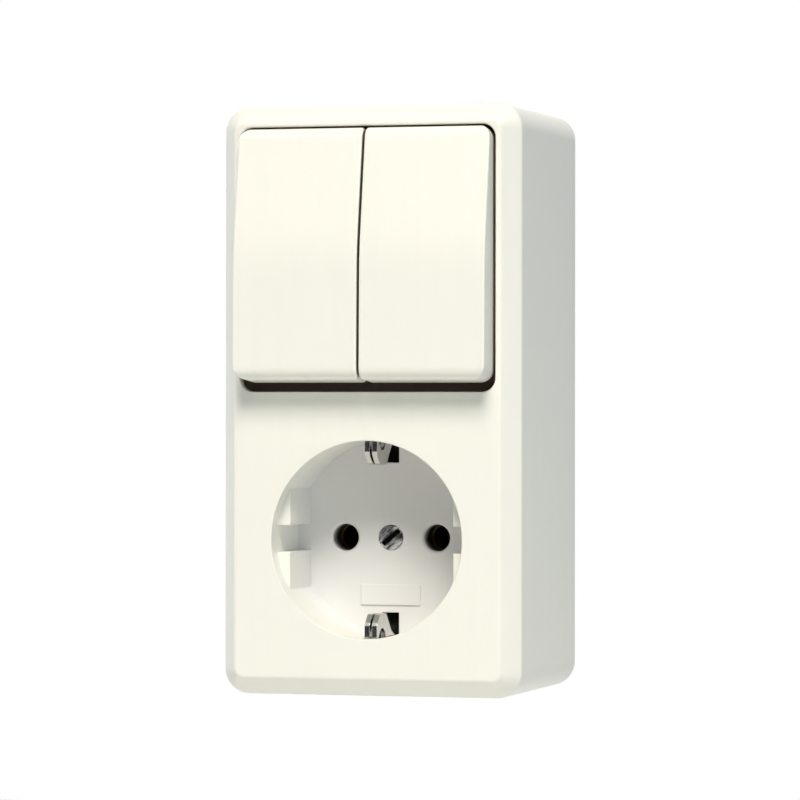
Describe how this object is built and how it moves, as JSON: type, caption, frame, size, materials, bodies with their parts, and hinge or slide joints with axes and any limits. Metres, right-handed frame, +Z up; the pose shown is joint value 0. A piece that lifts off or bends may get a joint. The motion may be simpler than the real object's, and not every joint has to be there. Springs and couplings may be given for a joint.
{
  "type": "switch and socket combination",
  "caption": "Surface-mounted hood with twin rocker switches above a round recessed socket with earth clips, on a screwed wall plate.",
  "frame": {"origin": "middle of the back face, halfway between the wall screw holes, in the plane of the wall", "axes": "+Z up along the unit's height, -Y out of the wall towards the user, +X to the user's right"},
  "size_m": [0.061, 0.0539, 0.1166],
  "materials": {
    "hood_plastic": "satin cream-white thermoplastic",
    "rocker_plastic": "satin cream-white thermoplastic",
    "plate_plastic": "matt grey thermoplastic",
    "switch_plastic": "dark brown moulding",
    "socket_plastic": "matt pale moulding",
    "cradle_plastic": "natural nylon",
    "spring_steel": "drawn wire",
    "contact_brass": "stamped",
    "contact_silver": "silver alloy",
    "earth_nickel": "bright nickel plate",
    "screw_steel": "zinc plate"
  },
  "bodies": {
    "housing": {"housing_cover": "hood_plastic", "base_plate": "plate_plastic", "switch_base": "switch_plastic", "socket_base": "socket_plastic", "rocker_axle": "spring_steel", "common_terminal": "contact_brass", "left_output_terminal": "contact_brass", "right_output_terminal": "contact_brass", "left_fixed_contact": "contact_silver", "right_fixed_contact": "contact_silver", "left_pin_contact": "contact_brass", "right_pin_contact": "contact_brass", "earth_bracket": "earth_nickel", "earth_terminal_screw": "screw_steel", "cover_screw": "screw_steel", "switch_terminal_screws": "screw_steel", "switch_fixing_screws": "screw_steel", "socket_terminal_screws": "screw_steel", "socket_fixing_screws": "screw_steel"},
    "left_rocker": {"left_rocker": "rocker_plastic", "left_rocker_cradle": "cradle_plastic", "left_plunger": "cradle_plastic", "left_plunger_spring": "spring_steel"},
    "right_rocker": {"right_rocker": "rocker_plastic", "right_rocker_cradle": "cradle_plastic", "right_plunger": "cradle_plastic", "right_plunger_spring": "spring_steel"},
    "left_contact": {"left_contact_blade": "contact_brass", "left_moving_contact": "contact_silver"},
    "right_contact": {"right_contact_blade": "contact_brass", "right_moving_contact": "contact_silver"}
  },
  "joints": [
    {"name": "left_rocker_tilt", "type": "hinge", "parent": "housing", "child": "left_rocker", "pos_m": [-0.01295, -0.0391, 0.0278], "axis": [1, 0, 0], "range_deg": [0, 10.4]},
    {"name": "right_rocker_tilt", "type": "hinge", "parent": "housing", "child": "right_rocker", "pos_m": [0.01295, -0.0391, 0.0278], "axis": [1, 0, 0], "range_deg": [0, 10.4]},
    {"name": "left_contact_tilt", "type": "hinge", "parent": "housing", "child": "left_contact", "pos_m": [-0.01295, -0.02685, 0.0278], "axis": [1, 0, 0], "range_deg": [-14.04, 0]},
    {"name": "right_contact_tilt", "type": "hinge", "parent": "housing", "child": "right_contact", "pos_m": [0.01295, -0.02685, 0.0278], "axis": [1, 0, 0], "range_deg": [-14.04, 0]}
  ],
  "couplings": [
    {"joint": "left_contact_tilt", "follows": "left_rocker_tilt", "ratio": -1.35},
    {"joint": "right_contact_tilt", "follows": "right_rocker_tilt", "ratio": -1.35}
  ]
}
